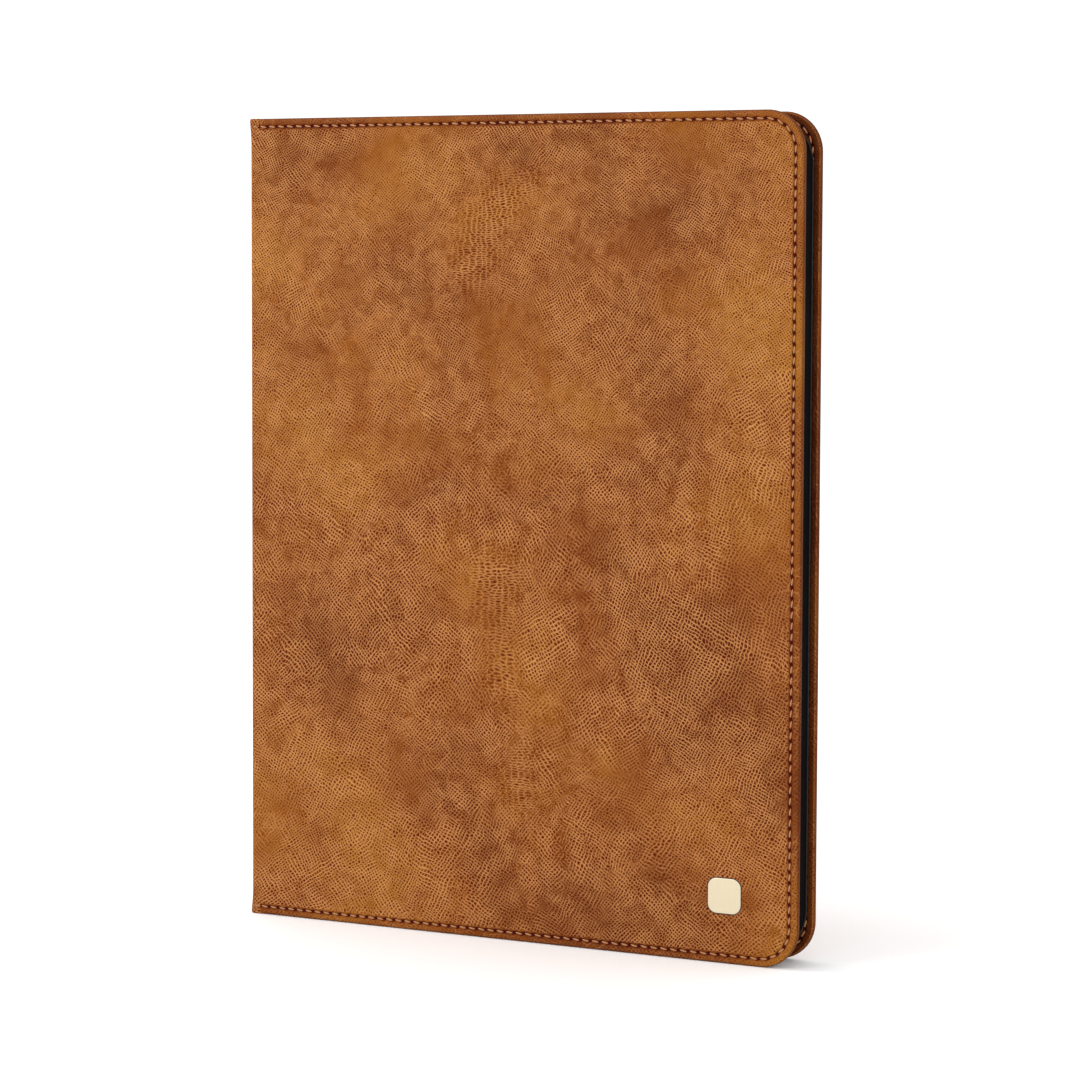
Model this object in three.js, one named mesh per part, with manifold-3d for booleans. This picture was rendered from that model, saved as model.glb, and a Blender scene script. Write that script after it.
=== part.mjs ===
// E-reader in a stitched leather book cover, closed and standing on its bottom edges.
// Millimetres. X runs from the spine to the fore edge, Y from the front cover to the back cover, Z up.
import * as THREE from "three";
import { mergeVertices } from "three/addons/utils/BufferGeometryUtils.js";
import Module from "manifold-3d";

const wasm = await Module();
wasm.setup();

// Folio, closed
const FOLIO_WIDTH = 187;
const FOLIO_HEIGHT = 253;
const FOLIO_THICKNESS = 16.2;
const CORNER_RADIUS = 12;

// Covers and spine
const LEATHER = 1.0;
const BOARD = 1.0;
const TURN_IN = 0.8;
const COVER = LEATHER + BOARD + TURN_IN;
const EDGE_ROUND = 0.7;
const EDGE_WALL = 1.1;
const TURN_IN_WIDTH = 5.4;
const FOLD_ZONE = 3.2;
const FOLD_GAP = 0.2;
const BOARD_GAP = 0.1;
const LINING_GAP = 0.15;
const SPINE_BOARD = 0.7;
const SPINE_LINING = 0.5;
const SPINE_FOLD = 3.1;

// Seam
const SEAM_INSET = 2.6;
const SEAM_START = 5;
const THREAD_WIDTH = 0.6;
const THREAD_PROUD = 0.15;
const THREAD_ROUND = 0.12;
const GROOVE_WIDTH = 0.8;
const GROOVE_DEPTH = 0.3;

// Plain plate on the front cover, and the magnets in its board
const PLATE_SIZE = 10.6;
const PLATE_RADIUS = 2.8;
const PLATE_FROM_FORE_EDGE = 23.3;
const PLATE_FROM_TAIL = 20.4;
const PLATE_THICKNESS = 0.8;
const PLATE_SUNK = 0.65;
const PLATE_ROUND = 0.2;
const PLATE_GAP = 0.1;
const MAGNET_LENGTH = 20;
const MAGNET_WIDTH = 5;
const MAGNET_GAP = 0.15;
const MAGNET_FROM_FORE_EDGE = 9;
const CLOSURE_MAGNET_FROM_END = 36.5;
const SLEEP_MAGNET_FROM_HEAD = 48;

// Tray that holds the reader
const TRAY_MARGIN = 2.3;
const TRAY_SPINE_MARGIN = 3.4;
const TRAY_RADIUS = 13.5;
const TRAY_WALL = 1.4;
const TRAY_FLOOR = 1.2;
const TRAY_LIP = 0.7;
const TRAY_LIP_REACH = 1.9;
const TRAY_ROUND = 0.25;
const TRAY_BOND = 0.6;
const TRAY_BOND_REACH = 0.2;
const CLOSED_GAP = 0.5;
const SLIP = 0.1;
const PORT_CUTOUT_WIDTH = 18;
const BUTTON_CUTOUT_WIDTH = 26;
const CUTOUT_PAST_BOARD = 0.95;

// Reader housing
const HOUSING_FLOOR = 1.0;
const HOUSING_WALL = 1.5;
const HOUSING_ROUND = 0.5;
const LENS = 0.8;
const LENS_INSET = 0.8;
const MASK = 0.15;
const PART_GAP = 0.1;

// Display stack
const BEZEL_SIDE = 10.55;
const BEZEL_HEAD = 12.5;
const BEZEL_TAIL = 23.3;
const LIGHT_GUIDE = 0.5;
const LIGHT_GUIDE_REACH = 1.5;
const LED_STRIP = 1.5;
const DISPLAY = 1.0;
const DISPLAY_REACH = 3;
const MID_PLATE = 1.2;

// Battery and boards
const BATTERY_WIDTH = 108;
const BATTERY_BELOW_BOARD = 41.8;
const BATTERY_FROM_TAIL = 62;
const BATTERY_TAPE = 0.15;
const BATTERY_GAP = 0.15;
const BATTERY_ROUND = 0.6;
const BOARD_THICKNESS = 0.8;
const BOARD_STANDOFF = 0.35;
const MAINBOARD_WIDTH = 112;
const MAINBOARD_HEIGHT = 44;
const MAINBOARD_FROM_TOP = 5.6;
const SHIELD_HEIGHT = 1.2;
const SHIELD_WALL = 0.2;
const PROCESSOR_SHIELD = 30;
const RADIO_SHIELD = 18;
const HALL_SENSOR = 3;
const PORT_BOARD_WIDTH = 34;
const PORT_BOARD_HEIGHT = 14;
const PORT_BOARD_FROM_TAIL = 3.4;
const FLEX_WIDTH = 7;
const FLEX_THICKNESS = 0.2;

// USB-C port
const PORT_WIDTH = 8.9;
const PORT_HEIGHT = 3.1;
const PORT_LENGTH = 7.3;
const PORT_WALL = 0.3;
const TONGUE_WIDTH = 6.7;
const TONGUE_HEIGHT = 0.7;
const TONGUE_LENGTH = 4.6;

// Power button on the head edge
const BUTTON_LENGTH = 12;
const BUTTON_WIDTH = 2.2;
const BUTTON_PROUD = 0.5;
const BUTTON_FLANGE = 0.5;
const BUTTON_FLANGE_REACH = 0.6;
const BUTTON_TRAVEL = 0.3;
const BUTTON_GAP = 0.1;
const BUTTON_OFFSET = 42;
const SWITCH_WIDTH = 4.5;
const SWITCH_DEPTH = 2;

// Chassis screws
const SCREW_SHANK = 1.4;
const SCREW_HEAD = 2.8;
const SCREW_HEAD_HEIGHT = 0.5;
const SCREW_LENGTH = 2.3;
const SCREW_GAP = 0.1;
const SCREW_RECESS = 1.1;
const SCREW_RECESS_DEPTH = 0.25;
const BOSS_DIAMETER = 4.4;
const SCREW_SIDE_INSET = 5.6;
const SCREW_END_INSET = 16;

const ROUND_STEPS = 2;
const CORNER_STEPS = 14;
const SCREW_SIDES = 18;
const HEX_SIDES = 6;
const OVERCUT = 1;
const MERGE_DISTANCE = 1e-4;

// Places that several pieces share
const xSpine = -FOLIO_WIDTH / 2;
const xFore = FOLIO_WIDTH / 2;
const yFront = -FOLIO_THICKNESS / 2;
const yBack = FOLIO_THICKNESS / 2;
const yInside = yBack - COVER;
const trayBase = yInside - TRAY_BOND;
const readerRear = trayBase - TRAY_FLOOR - SLIP;
const lipFront = yFront + COVER + CLOSED_GAP;
const readerFront = lipFront + TRAY_LIP + SLIP;
const tray = {
  x0: xSpine + TRAY_SPINE_MARGIN,
  x1: xFore - TRAY_MARGIN,
  z0: TRAY_MARGIN,
  z1: FOLIO_HEIGHT - TRAY_MARGIN,
};
const reader = inset(tray, TRAY_WALL + SLIP);
const readerRadius = TRAY_RADIUS - TRAY_WALL - SLIP;
const readerCentre = (reader.x0 + reader.x1) / 2;
const maskRear = readerFront + LENS + MASK;
const guideRear = maskRear + LIGHT_GUIDE;
const displayRear = guideRear + DISPLAY;
const midRear = displayRear + MID_PLATE;
const cavityRear = readerRear - HOUSING_FLOOR;
const boardRear = cavityRear - BOARD_STANDOFF;
const boardFront = boardRear - BOARD_THICKNESS;
const active = {
  x0: reader.x0 + BEZEL_SIDE,
  x1: reader.x1 - BEZEL_SIDE,
  z0: reader.z0 + BEZEL_TAIL,
  z1: reader.z1 - BEZEL_HEAD,
};
const mainboard = {
  x0: readerCentre - MAINBOARD_WIDTH / 2,
  x1: readerCentre + MAINBOARD_WIDTH / 2,
  z0: reader.z1 - MAINBOARD_FROM_TOP - MAINBOARD_HEIGHT,
  z1: reader.z1 - MAINBOARD_FROM_TOP,
};
const buttonX = readerCentre + BUTTON_OFFSET;
const buttonY = boardFront - BUTTON_WIDTH / 2;
const portY = boardFront - PORT_HEIGHT / 2;

const folio = new THREE.Group();
folio.name = "e_reader_folio";

// A rectangle in XZ, made smaller all round
function inset(r, by) {
  return { x0: r.x0 + by, x1: r.x1 - by, z0: r.z0 + by, z1: r.z1 - by };
}

// Rounded rectangle in XZ, with one radius for the left corners and one for the right ones
function panel(r, left, right) {
  const s = new THREE.Shape();
  s.moveTo(r.x0 + left, r.z0);
  s.lineTo(r.x1 - right, r.z0);
  if (right > 0) s.absarc(r.x1 - right, r.z0 + right, right, -Math.PI / 2, 0, false);
  s.lineTo(r.x1, r.z1 - right);
  if (right > 0) s.absarc(r.x1 - right, r.z1 - right, right, 0, Math.PI / 2, false);
  s.lineTo(r.x0 + left, r.z1);
  if (left > 0) s.absarc(r.x0 + left, r.z1 - left, left, Math.PI / 2, Math.PI, false);
  s.lineTo(r.x0, r.z0 + left);
  if (left > 0) s.absarc(r.x0 + left, r.z0 + left, left, Math.PI, Math.PI * 1.5, false);
  return s;
}

// Strip along head, fore edge and tail of a cover, between two distances from its outline
function seamBand(near, far) {
  const start = xSpine + SEAM_START;
  const corner = xFore - CORNER_RADIUS;
  const head = FOLIO_HEIGHT - CORNER_RADIUS;
  const outer = CORNER_RADIUS - near;
  const inner = CORNER_RADIUS - far;
  const s = new THREE.Shape();
  s.moveTo(start, near);
  s.lineTo(corner, near);
  s.absarc(corner, CORNER_RADIUS, outer, -Math.PI / 2, 0, false);
  s.lineTo(xFore - near, head);
  s.absarc(corner, head, outer, 0, Math.PI / 2, false);
  s.lineTo(start, FOLIO_HEIGHT - near);
  s.lineTo(start, FOLIO_HEIGHT - far);
  s.lineTo(corner, FOLIO_HEIGHT - far);
  s.absarc(corner, head, inner, Math.PI / 2, 0, true);
  s.lineTo(xFore - far, CORNER_RADIUS);
  s.absarc(corner, CORNER_RADIUS, inner, 0, -Math.PI / 2, true);
  s.lineTo(start, far);
  return s;
}

// A shape in XZ given thickness from yNear to yFar, its edges rounded by the last value
function slab(shape, yNear, yFar, round = 0) {
  const g = new THREE.ExtrudeGeometry(shape, {
    depth: yFar - yNear - 2 * round,
    curveSegments: CORNER_STEPS,
    bevelEnabled: round > 0,
    bevelThickness: round,
    bevelSize: round,
    bevelOffset: -round,
    bevelSegments: ROUND_STEPS,
  });
  return g.rotateX(Math.PI / 2).translate(0, yFar - round, 0);
}

// A polygon in XY carried up Z
function prism(points, z0, z1) {
  const s = new THREE.Shape(points.map(([x, y]) => new THREE.Vector2(x, y)));
  return new THREE.ExtrudeGeometry(s, { depth: z1 - z0, bevelEnabled: false }).translate(0, 0, z0);
}

function block(x0, x1, y0, y1, z0, z1) {
  return new THREE.BoxGeometry(x1 - x0, y1 - y0, z1 - z0).translate(
    (x0 + x1) / 2,
    (y0 + y1) / 2,
    (z0 + z1) / 2,
  );
}

// A round bar along Y
function bar(diameter, yNear, yFar, x, z, sides = SCREW_SIDES) {
  const g = new THREE.CylinderGeometry(diameter / 2, diameter / 2, yFar - yNear, sides);
  return g.translate(x, (yNear + yFar) / 2, z);
}

function toManifold(geometry) {
  const plain = new THREE.BufferGeometry();
  const flat = geometry.index ? geometry.toNonIndexed() : geometry;
  plain.setAttribute("position", flat.getAttribute("position"));
  const merged = mergeVertices(plain, MERGE_DISTANCE);
  return new wasm.Manifold(
    new wasm.Mesh({
      numProp: 3,
      vertProperties: new Float32Array(merged.attributes.position.array),
      triVerts: new Uint32Array(merged.index.array),
    }),
  );
}

function fromManifold(body) {
  const mesh = body.getMesh();
  const g = new THREE.BufferGeometry();
  g.setAttribute("position", new THREE.BufferAttribute(new Float32Array(mesh.vertProperties), 3));
  g.setIndex(new THREE.BufferAttribute(new Uint32Array(mesh.triVerts), 1));
  const flat = g.toNonIndexed();
  flat.computeVertexNormals();
  return flat;
}

function cut(geometry, ...tools) {
  return fromManifold(tools.reduce((m, t) => m.subtract(toManifold(t)), toManifold(geometry)));
}

function join(geometry, ...more) {
  return fromManifold(more.reduce((m, t) => m.add(toManifold(t)), toManifold(geometry)));
}

// The same geometry on the other cover: mirrored front to back, its faces turned outwards again
function mirrored(geometry) {
  const g = geometry.index ? geometry.toNonIndexed() : geometry.clone();
  const p = g.getAttribute("position");
  const out = new Float32Array(p.count * 3);
  for (let i = 0; i < p.count; i += 3) {
    [0, 2, 1].forEach((from, to) => {
      out[(i + to) * 3] = p.getX(i + from);
      out[(i + to) * 3 + 1] = -p.getY(i + from);
      out[(i + to) * 3 + 2] = p.getZ(i + from);
    });
  }
  const flat = new THREE.BufferGeometry();
  flat.setAttribute("position", new THREE.BufferAttribute(out, 3));
  flat.computeVertexNormals();
  return flat;
}

function add(name, geometry, material) {
  const mesh = new THREE.Mesh(geometry, material);
  mesh.name = name;
  folio.add(mesh);
}

const paint = (color, roughness, metalness = 0) =>
  new THREE.MeshStandardMaterial({ color, roughness, metalness });

const material = {
  leather: paint(0xa0602f, 0.6),
  board: paint(0xb7a98c, 0.9),
  lining: paint(0x4a3426, 0.95),
  thread: paint(0x8a5a34, 0.8),
  champagne: paint(0xdfcfae, 0.3, 1),
  magnet: paint(0x9a9da0, 0.35, 1),
  black: paint(0x141414, 0.5),
  foam: paint(0x6d6d6d, 0.95),
  housing: paint(0x1c1d1f, 0.55),
  cell: paint(0xb9bcc0, 0.45, 0.6),
  tape: paint(0xe8e8e2, 0.9),
  circuit: paint(0x1f4a34, 0.5),
  shield: paint(0xc4c6c8, 0.35, 1),
  copper: paint(0xb87333, 0.4, 1),
  aluminium: paint(0xa9acb0, 0.4, 1),
  paper: paint(0xd9d8d2, 0.85),
  acrylic: paint(0xf2f4f5, 0.15),
  glass: paint(0xc9cccf, 0.1),
};

// Space in a cover that its board fills, open towards the spine
function boardSpace(gap) {
  const r = {
    x0: xSpine + FOLD_ZONE + gap,
    x1: xFore - EDGE_WALL - gap,
    z0: EDGE_WALL + gap,
    z1: FOLIO_HEIGHT - EDGE_WALL - gap,
  };
  return { r, radius: CORNER_RADIUS - EDGE_WALL - gap };
}

// Window that the turned-in leather leaves for the lining
function liningSpace(gap) {
  const r = {
    x0: xSpine + FOLD_ZONE + gap,
    x1: xFore - TURN_IN_WIDTH - gap,
    z0: TURN_IN_WIDTH + gap,
    z1: FOLIO_HEIGHT - TURN_IN_WIDTH - gap,
  };
  return { r, radius: CORNER_RADIUS - TURN_IN_WIDTH - gap };
}

// Leather of the front cover: outer skin, turned round head, fore edge and tail, mitred at the fold
function coverLeather() {
  const whole = { x0: xSpine, x1: xFore, z0: 0, z1: FOLIO_HEIGHT };
  const board = boardSpace(0);
  const lining = liningSpace(0);
  const skin = yFront + LEATHER;
  const thin = block(
    xSpine - OVERCUT,
    xSpine + FOLD_ZONE,
    skin,
    yFront + COVER + OVERCUT,
    -OVERCUT,
    FOLIO_HEIGHT + OVERCUT,
  );
  const mitre = prism(
    [
      [xSpine + FOLD_GAP - OVERCUT, yFront - OVERCUT],
      [xSpine + FOLD_GAP + 2 * LEATHER, yFront + 2 * LEATHER],
      [xSpine - 2 * OVERCUT, yFront + 2 * LEATHER],
      [xSpine - 2 * OVERCUT, yFront - OVERCUT],
    ],
    -OVERCUT,
    FOLIO_HEIGHT + OVERCUT,
  );
  return cut(
    slab(panel(whole, 0, CORNER_RADIUS), yFront, yFront + COVER, EDGE_ROUND),
    slab(panel({ ...board.r, x0: xSpine }, 0, board.radius), skin, skin + BOARD),
    slab(panel({ ...lining.r, x0: xSpine }, 0, lining.radius), skin, yFront + COVER + OVERCUT),
    thin,
    mitre,
    seamGroove(yFront - OVERCUT, yFront + GROOVE_DEPTH),
    seamGroove(yFront + COVER - GROOVE_DEPTH, yFront + COVER + OVERCUT),
  );
}

function seamGroove(yNear, yFar) {
  const half = GROOVE_WIDTH / 2;
  return slab(seamBand(SEAM_INSET - half, SEAM_INSET + half), yNear, yFar);
}

function seamThread(yNear, yFar) {
  const half = THREAD_WIDTH / 2;
  return slab(seamBand(SEAM_INSET - half, SEAM_INSET + half), yNear, yFar, THREAD_ROUND);
}

const needleThread = () => seamThread(yFront - THREAD_PROUD, yFront + GROOVE_DEPTH);
const bobbinThread = () => seamThread(yFront + COVER - GROOVE_DEPTH, yFront + COVER);

function coverBoard() {
  const { r, radius } = boardSpace(BOARD_GAP);
  return slab(panel(r, 0, radius), yFront + LEATHER, yFront + LEATHER + BOARD);
}

function coverLining() {
  const { r, radius } = liningSpace(LINING_GAP);
  return slab(panel(r, 0, radius), yFront + LEATHER + BOARD, yFront + COVER);
}

// Plate in the front cover's skin, seen square on as a rounded square
function plateShape(gap) {
  const half = PLATE_SIZE / 2 + gap;
  const x = xFore - PLATE_FROM_FORE_EDGE;
  const z = PLATE_FROM_TAIL;
  const radius = PLATE_RADIUS + gap;
  return panel({ x0: x - half, x1: x + half, z0: z - half, z1: z + half }, radius, radius);
}

function magnetPlaces() {
  const x = xFore - MAGNET_FROM_FORE_EDGE;
  return {
    closure_magnet_upper: { x, z: FOLIO_HEIGHT - CLOSURE_MAGNET_FROM_END },
    closure_magnet_lower: { x, z: CLOSURE_MAGNET_FROM_END },
    sleep_magnet: { x: xFore - PLATE_FROM_FORE_EDGE, z: FOLIO_HEIGHT - SLEEP_MAGNET_FROM_HEAD },
  };
}

function magnet(place, gap, yNear, yFar) {
  const w = MAGNET_WIDTH / 2 + gap;
  const h = MAGNET_LENGTH / 2 + gap;
  return block(place.x - w, place.x + w, yNear, yFar, place.z - h, place.z + h);
}

function frontCover() {
  const places = magnetPlaces();
  const boardNear = yFront + LEATHER;
  const boardFar = boardNear + BOARD;
  const pockets = Object.values(places).map((p) =>
    magnet(p, MAGNET_GAP, boardNear - OVERCUT, boardFar + OVERCUT),
  );
  const sunk = slab(plateShape(PLATE_GAP), yFront - OVERCUT, yFront + PLATE_SUNK);
  add("front_leather", cut(coverLeather(), sunk), material.leather);
  add("front_board", cut(coverBoard(), ...pockets), material.board);
  add("front_lining", coverLining(), material.lining);
  add("front_needle_thread", needleThread(), material.thread);
  add("front_bobbin_thread", bobbinThread(), material.thread);
  const proud = yFront + PLATE_SUNK - PLATE_THICKNESS;
  const plate = slab(plateShape(0), proud, yFront + PLATE_SUNK, PLATE_ROUND);
  add("badge_plate", plate, material.champagne);
  for (const [name, place] of Object.entries(places)) {
    add(name, magnet(place, 0, boardNear, boardFar), material.magnet);
  }
}

function backCover() {
  add("back_leather", mirrored(coverLeather()), material.leather);
  add("back_board", mirrored(coverBoard()), material.board);
  add("back_lining", mirrored(coverLining()), material.lining);
  add("back_needle_thread", mirrored(needleThread()), material.thread);
  add("back_bobbin_thread", mirrored(bobbinThread()), material.thread);
}

// Spine between the two folds: leather turned in at head and tail, a stiffener and a lining
function spine() {
  const skin = xSpine + LEATHER;
  const stiff = skin + SPINE_BOARD;
  const inner = stiff + SPINE_LINING;
  const foldNear = yFront + SPINE_FOLD;
  const foldFar = yBack - SPINE_FOLD;
  const head = FOLIO_HEIGHT;
  const outline = [
    [xSpine, yFront + FOLD_GAP],
    [skin, yFront + FOLD_GAP + LEATHER],
    [skin, foldNear],
    [inner, foldNear],
    [inner, foldFar],
    [skin, foldFar],
    [skin, yBack - FOLD_GAP - LEATHER],
    [xSpine, yBack - FOLD_GAP],
  ];
  const leather = cut(
    prism(outline, 0, head),
    block(skin, stiff, foldNear - OVERCUT, foldFar + OVERCUT, EDGE_WALL, head - EDGE_WALL),
    block(
      stiff,
      inner + OVERCUT,
      foldNear - OVERCUT,
      foldFar + OVERCUT,
      TURN_IN_WIDTH,
      head - TURN_IN_WIDTH,
    ),
  );
  const boardEnd = EDGE_WALL + BOARD_GAP;
  const liningEnd = TURN_IN_WIDTH + LINING_GAP;
  const board = block(skin, stiff, foldNear, foldFar, boardEnd, head - boardEnd);
  const lining = block(stiff, inner, foldNear, foldFar, liningEnd, head - liningEnd);
  add("spine_leather", leather, material.leather);
  add("spine_board", board, material.board);
  add("spine_lining", lining, material.lining);
}

// Black tray on a foam bond: floor, side walls, a lip that holds the reader, two access cut-outs
function trayAndBond() {
  const bond = slab(
    panel(inset(tray, -TRAY_BOND_REACH), TRAY_RADIUS + TRAY_BOND_REACH, TRAY_RADIUS + TRAY_BOND_REACH),
    trayBase,
    yInside,
  );
  const pocket = inset(tray, TRAY_WALL);
  const window = inset(tray, TRAY_LIP_REACH);
  const pocketRadius = TRAY_RADIUS - TRAY_WALL;
  const windowRadius = TRAY_RADIUS - TRAY_LIP_REACH;
  const cutFar = boardRear + CUTOUT_PAST_BOARD;
  const inward = TRAY_LIP_REACH + OVERCUT;
  const port = block(
    readerCentre - PORT_CUTOUT_WIDTH / 2,
    readerCentre + PORT_CUTOUT_WIDTH / 2,
    lipFront - OVERCUT,
    cutFar,
    tray.z0 - OVERCUT,
    tray.z0 + inward,
  );
  const button = block(
    buttonX - BUTTON_CUTOUT_WIDTH / 2,
    buttonX + BUTTON_CUTOUT_WIDTH / 2,
    lipFront - OVERCUT,
    cutFar,
    tray.z1 - inward,
    tray.z1 + OVERCUT,
  );
  const body = cut(
    slab(panel(tray, TRAY_RADIUS, TRAY_RADIUS), lipFront, trayBase, TRAY_ROUND),
    slab(panel(pocket, pocketRadius, pocketRadius), lipFront + TRAY_LIP, trayBase - TRAY_FLOOR),
    slab(panel(window, windowRadius, windowRadius), lipFront - OVERCUT, lipFront + TRAY_LIP + SLIP),
    port,
    button,
  );
  add("tray_bond", bond, material.foam);
  add("tray", body, material.black);
}

function screwPlaces() {
  const { x0, x1 } = inset(reader, SCREW_SIDE_INSET);
  const { z0, z1 } = inset(reader, SCREW_END_INSET);
  return [z0, (z0 + z1) / 2, z1].flatMap((z) => [
    [x0, z],
    [x1, z],
  ]);
}

function rearHousing() {
  const walls = inset(reader, HOUSING_WALL);
  const lens = inset(reader, LENS_INSET);
  const wallRadius = readerRadius - HOUSING_WALL;
  const lensRadius = readerRadius - LENS_INSET;
  const shell = cut(
    slab(panel(reader, readerRadius, readerRadius), readerFront, readerRear, HOUSING_ROUND),
    slab(panel(lens, lensRadius, lensRadius), readerFront - OVERCUT, readerFront + LENS),
    slab(panel(walls, wallRadius, wallRadius), readerFront, cavityRear),
  );
  const bosses = screwPlaces().map(([x, z]) =>
    bar(BOSS_DIAMETER, midRear, cavityRear + HOUSING_FLOOR / 2, x, z),
  );
  const standoffs = boardStandoffs();
  const shank = SCREW_SHANK / 2 + SCREW_GAP;
  const holes = screwPlaces().map(([x, z]) =>
    bar(2 * shank, midRear - OVERCUT, displayRear + SCREW_LENGTH + SCREW_GAP, x, z),
  );
  const slot = BUTTON_LENGTH / 2 + BUTTON_GAP;
  const slotHalf = BUTTON_WIDTH / 2 + BUTTON_GAP;
  const buttonSlot = block(
    buttonX - slot,
    buttonX + slot,
    buttonY - slotHalf,
    buttonY + slotHalf,
    reader.z1 - HOUSING_WALL - OVERCUT,
    reader.z1 + OVERCUT,
  );
  const portHole = portBody(PART_GAP, OVERCUT, PORT_LENGTH);
  return cut(join(shell, ...bosses, ...standoffs), ...holes, buttonSlot, portHole);
}

// Low pads on the housing floor that carry the two circuit boards
function boardStandoffs() {
  const near = boardRear;
  const far = cavityRear + HOUSING_FLOOR / 2;
  const m = inset(mainboard, BOSS_DIAMETER);
  const half = PORT_BOARD_WIDTH / 2 - BOSS_DIAMETER;
  const z = reader.z0 + PORT_BOARD_FROM_TAIL + PORT_BOARD_HEIGHT - BOSS_DIAMETER;
  return [
    [m.x0, m.z0],
    [m.x1, m.z0],
    [m.x0, m.z1],
    [m.x1, m.z1],
    [readerCentre - half, z],
    [readerCentre + half, z],
  ].map(([x, zz]) => bar(BOSS_DIAMETER, near, far, x, zz));
}

// Stadium-shaped body of the port, grown by a gap, from outside the tail wall inwards
function portBody(gap, outside, length) {
  const w = PORT_WIDTH / 2 + gap;
  const r = PORT_HEIGHT / 2 + gap;
  const s = new THREE.Shape();
  s.moveTo(-w + r, -r);
  s.lineTo(w - r, -r);
  s.absarc(w - r, 0, r, -Math.PI / 2, Math.PI / 2, false);
  s.lineTo(-w + r, r);
  s.absarc(-w + r, 0, r, Math.PI / 2, Math.PI * 1.5, false);
  const g = new THREE.ExtrudeGeometry(s, {
    depth: length + outside,
    bevelEnabled: false,
    curveSegments: CORNER_STEPS,
  });
  return g.translate(readerCentre, portY, reader.z0 - outside);
}

function usbPort() {
  const inside = portBody(-PORT_WALL, OVERCUT, PORT_LENGTH - PORT_WALL);
  const z0 = reader.z0 + PORT_LENGTH - PORT_WALL - TONGUE_LENGTH;
  const tongue = block(
    readerCentre - TONGUE_WIDTH / 2,
    readerCentre + TONGUE_WIDTH / 2,
    portY - TONGUE_HEIGHT / 2,
    portY + TONGUE_HEIGHT / 2,
    z0,
    z0 + TONGUE_LENGTH,
  );
  add("usb_shell", cut(portBody(0, 0, PORT_LENGTH), inside), material.shield);
  add("usb_tongue", tongue, material.black);
}

// Frame behind the display: a plate with a raised rim, notched round the port and the button
function midFrame() {
  const gap = PART_GAP;
  const outer = inset(reader, HOUSING_WALL + gap);
  const radius = readerRadius - HOUSING_WALL - gap;
  const display = inset(active, -DISPLAY_REACH - gap);
  const portSide = PORT_WIDTH / 2 + 2 * gap;
  const flange = BUTTON_LENGTH / 2 + BUTTON_FLANGE_REACH + 2 * gap;
  const notchDepth = BUTTON_FLANGE + BUTTON_TRAVEL + SWITCH_DEPTH + 2 * gap;
  const shank = SCREW_SHANK + 2 * SCREW_GAP;
  const head = SCREW_HEAD + 2 * SCREW_GAP;
  const screws = screwPlaces().flatMap(([x, z]) => [
    bar(shank, maskRear - OVERCUT, midRear + OVERCUT, x, z),
    bar(head, maskRear - OVERCUT, displayRear, x, z),
  ]);
  return cut(
    slab(panel(outer, radius, radius), maskRear, midRear),
    slab(panel(display, 0, 0), maskRear - OVERCUT, displayRear),
    block(
      readerCentre - portSide,
      readerCentre + portSide,
      portY - PORT_HEIGHT / 2 - gap,
      midRear + OVERCUT,
      outer.z0 - OVERCUT,
      reader.z0 + PORT_LENGTH + 2 * gap,
    ),
    block(
      buttonX - flange,
      buttonX + flange,
      buttonY - BUTTON_WIDTH / 2 - BUTTON_FLANGE_REACH - gap,
      midRear + OVERCUT,
      outer.z1 - notchDepth,
      outer.z1 + OVERCUT,
    ),
    ...screws,
  );
}

function displayStack() {
  const guide = inset(active, -LIGHT_GUIDE_REACH);
  const glass = inset(reader, LENS_INSET + PART_GAP);
  const radius = readerRadius - LENS_INSET - PART_GAP;
  const mask = inset(reader, HOUSING_WALL + PART_GAP);
  const maskRadius = readerRadius - HOUSING_WALL - PART_GAP;
  const strip = block(
    guide.x0,
    guide.x1,
    maskRear,
    guideRear,
    guide.z0 - PART_GAP - LED_STRIP,
    guide.z0 - PART_GAP,
  );
  const frame = cut(
    slab(panel(mask, maskRadius, maskRadius), readerFront + LENS, maskRear),
    slab(panel(active, 0, 0), readerFront, maskRear + OVERCUT),
  );
  const panelShape = panel(inset(active, -DISPLAY_REACH), 0, 0);
  add("display_panel", slab(panelShape, guideRear, displayRear), material.paper);
  add("light_guide", slab(panel(guide, 0, 0), maskRear, guideRear), material.acrylic);
  add("led_strip", strip, material.copper);
  add("bezel_mask", frame, material.black);
  add("front_lens", slab(panel(glass, radius, radius), readerFront, readerFront + LENS), material.glass);
}

function battery() {
  const r = {
    x0: readerCentre - BATTERY_WIDTH / 2,
    x1: readerCentre + BATTERY_WIDTH / 2,
    z0: reader.z0 + BATTERY_FROM_TAIL,
    z1: mainboard.z0 - BATTERY_BELOW_BOARD,
  };
  const rear = cavityRear - BATTERY_TAPE;
  const pack = slab(panel(r, BATTERY_ROUND, BATTERY_ROUND), midRear + BATTERY_GAP, rear);
  const tape = inset(r, BATTERY_ROUND * 2);
  add("battery_pack", pack, material.cell);
  add("battery_tape", slab(panel(tape, 0, 0), rear, cavityRear), material.tape);
}

// Thin can over a group of chips, open towards its board
function shieldCan(x, z, size) {
  const half = size / 2;
  const near = boardFront - SHIELD_HEIGHT;
  const wall = half - SHIELD_WALL;
  return cut(
    block(x - half, x + half, near, boardFront, z - half, z + half),
    block(x - wall, x + wall, near + SHIELD_WALL, boardFront + OVERCUT, z - wall, z + wall),
  );
}

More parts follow.
